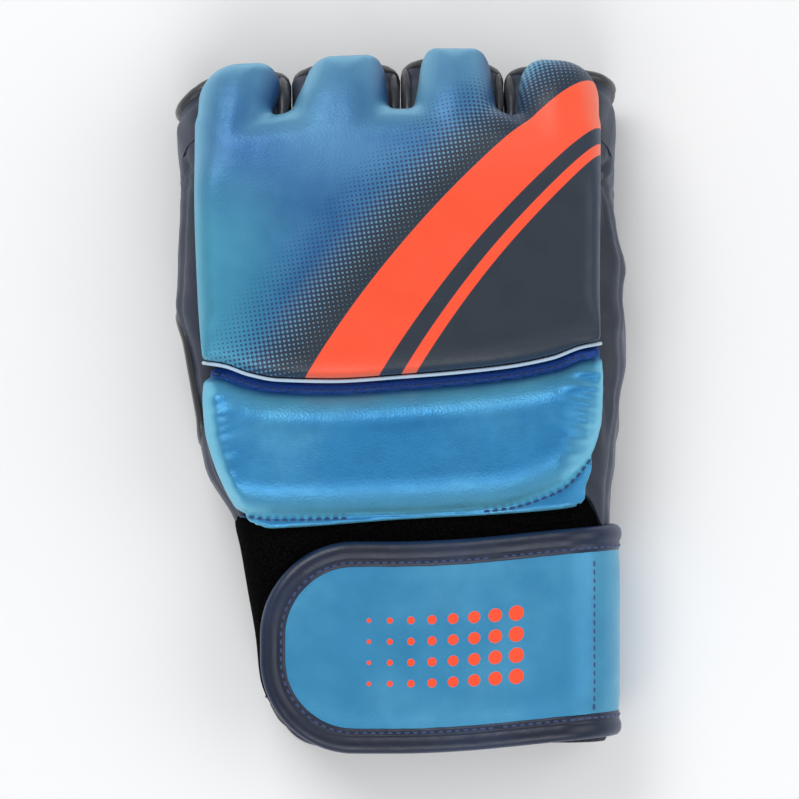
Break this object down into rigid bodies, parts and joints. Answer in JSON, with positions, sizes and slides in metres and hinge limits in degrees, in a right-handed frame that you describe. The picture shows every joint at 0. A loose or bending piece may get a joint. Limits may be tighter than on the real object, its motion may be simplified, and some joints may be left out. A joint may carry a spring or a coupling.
{
  "type": "open-finger grappling and striking glove",
  "caption": "Right-hand open-finger padded glove with a stuffed knuckle pad, a wrist roll, bound thumb and palm openings and a wrap-round hook-and-loop wrist strap.",
  "frame": {"origin": "middle of the glove's outline, on the surface that it lies on", "axes": "+X to the little-finger side, +Y to the fingertips, +Z out of the back of the hand"},
  "size_m": [0.1286, 0.202, 0.0475],
  "materials": {
    "printed_leather": "pearl-blue coated leather with a fine grain and a navy dot fade, satin",
    "roll_leather": "pearl-blue coated leather with a fine grain, satin",
    "strap_leather": "smooth pearl-blue coated leather, satin",
    "navy_leather": "dark navy coated leather, matt grain",
    "rolled_edge": "near-black turned leather edge",
    "palm_leather": "dark navy coated leather, matt grain",
    "palm_suede": "brushed suede grip patch",
    "edge_tape": "woven edge tape",
    "strap_binding": "navy folded binding, satin",
    "strap_backing": "black woven backing",
    "piping": "pale blue covered cord",
    "foam": "closed-cell foam",
    "lining": "black knitted lining",
    "loop_cloth": "black brushed loop pile",
    "cuff_hem": "black folded tape",
    "loop_patch": "black loop tape",
    "hook_tape": "black moulded hooks"
  },
  "bodies": {
    "hand": {"back_pad_cover": "printed_leather", "back_pad_foam": "foam", "backing_panel": "navy_leather", "cuff_band": "loop_cloth", "cuff_hem": "cuff_hem", "hand_lining": "lining", "little_side_gusset": "navy_leather", "loop_patch": "loop_patch", "palm_opening_binding": "edge_tape", "palm_panel": "palm_leather", "palm_patch": "palm_suede", "seam_piping": "piping", "strap_under_backing": "strap_backing", "strap_under_binding": "strap_binding", "strap_under_core": "foam", "strap_under_face": "strap_leather", "thumb_opening_binding": "edge_tape", "thumb_side_gusset": "navy_leather", "wrist_roll_cover": "roll_leather", "wrist_roll_foam": "foam"},
    "index": {"index_pad_cover": "printed_leather", "index_pad_foam": "foam", "index_sleeve": "navy_leather", "index_rim": "rolled_edge"},
    "middle": {"middle_pad_cover": "printed_leather", "middle_pad_foam": "foam", "middle_sleeve": "navy_leather", "middle_rim": "rolled_edge"},
    "ring": {"ring_pad_cover": "printed_leather", "ring_pad_foam": "foam", "ring_sleeve": "navy_leather", "ring_rim": "rolled_edge"},
    "little": {"little_pad_cover": "printed_leather", "little_pad_foam": "foam", "little_sleeve": "navy_leather", "little_rim": "rolled_edge"},
    "strap_turn": {"strap_turn_binding": "strap_binding", "strap_turn_core": "foam", "strap_turn_face": "strap_leather"},
    "strap_panel": {"strap_panel_binding": "strap_binding", "strap_panel_core": "foam", "strap_panel_face": "strap_leather", "strap_panel_hooks": "hook_tape"},
    "strap_tip": {"strap_tip_binding": "strap_binding", "strap_tip_core": "foam", "strap_tip_face": "strap_leather", "strap_tip_hooks": "hook_tape"}
  },
  "joints": [
    {"name": "index_flex", "type": "hinge", "parent": "hand", "child": "index", "pos_m": [-0.0479, 0.07597, 0.02984], "axis": [-1, 0, 0], "range_deg": [0, 40], "stiffness_Nm_per_rad": 0.15},
    {"name": "middle_flex", "type": "hinge", "parent": "hand", "child": "middle", "pos_m": [-0.0157, 0.07597, 0.02984], "axis": [-1, 0, 0], "range_deg": [0, 40], "stiffness_Nm_per_rad": 0.15},
    {"name": "ring_flex", "type": "hinge", "parent": "hand", "child": "ring", "pos_m": [0.0149, 0.07597, 0.02984], "axis": [-1, 0, 0], "range_deg": [0, 40], "stiffness_Nm_per_rad": 0.15},
    {"name": "little_flex", "type": "hinge", "parent": "hand", "child": "little", "pos_m": [0.0457, 0.07597, 0.02984], "axis": [-1, 0, 0], "range_deg": [0, 40], "stiffness_Nm_per_rad": 0.15},
    {"name": "strap_turn_open", "type": "hinge", "parent": "hand", "child": "strap_turn", "pos_m": [0.0632, -0.07075, 0.01], "axis": [0, 1, 0], "range_deg": [0, 50]},
    {"name": "strap_peel", "type": "hinge", "parent": "strap_turn", "child": "strap_panel", "pos_m": [0.04615, -0.07075, 0.037], "axis": [0, 1, 0], "range_deg": [0, 120]},
    {"name": "strap_tip_curl", "type": "hinge", "parent": "strap_panel", "child": "strap_tip", "pos_m": [0.00815, -0.07075, 0.037], "axis": [0, 1, 0], "range_deg": [0, 60]}
  ]
}
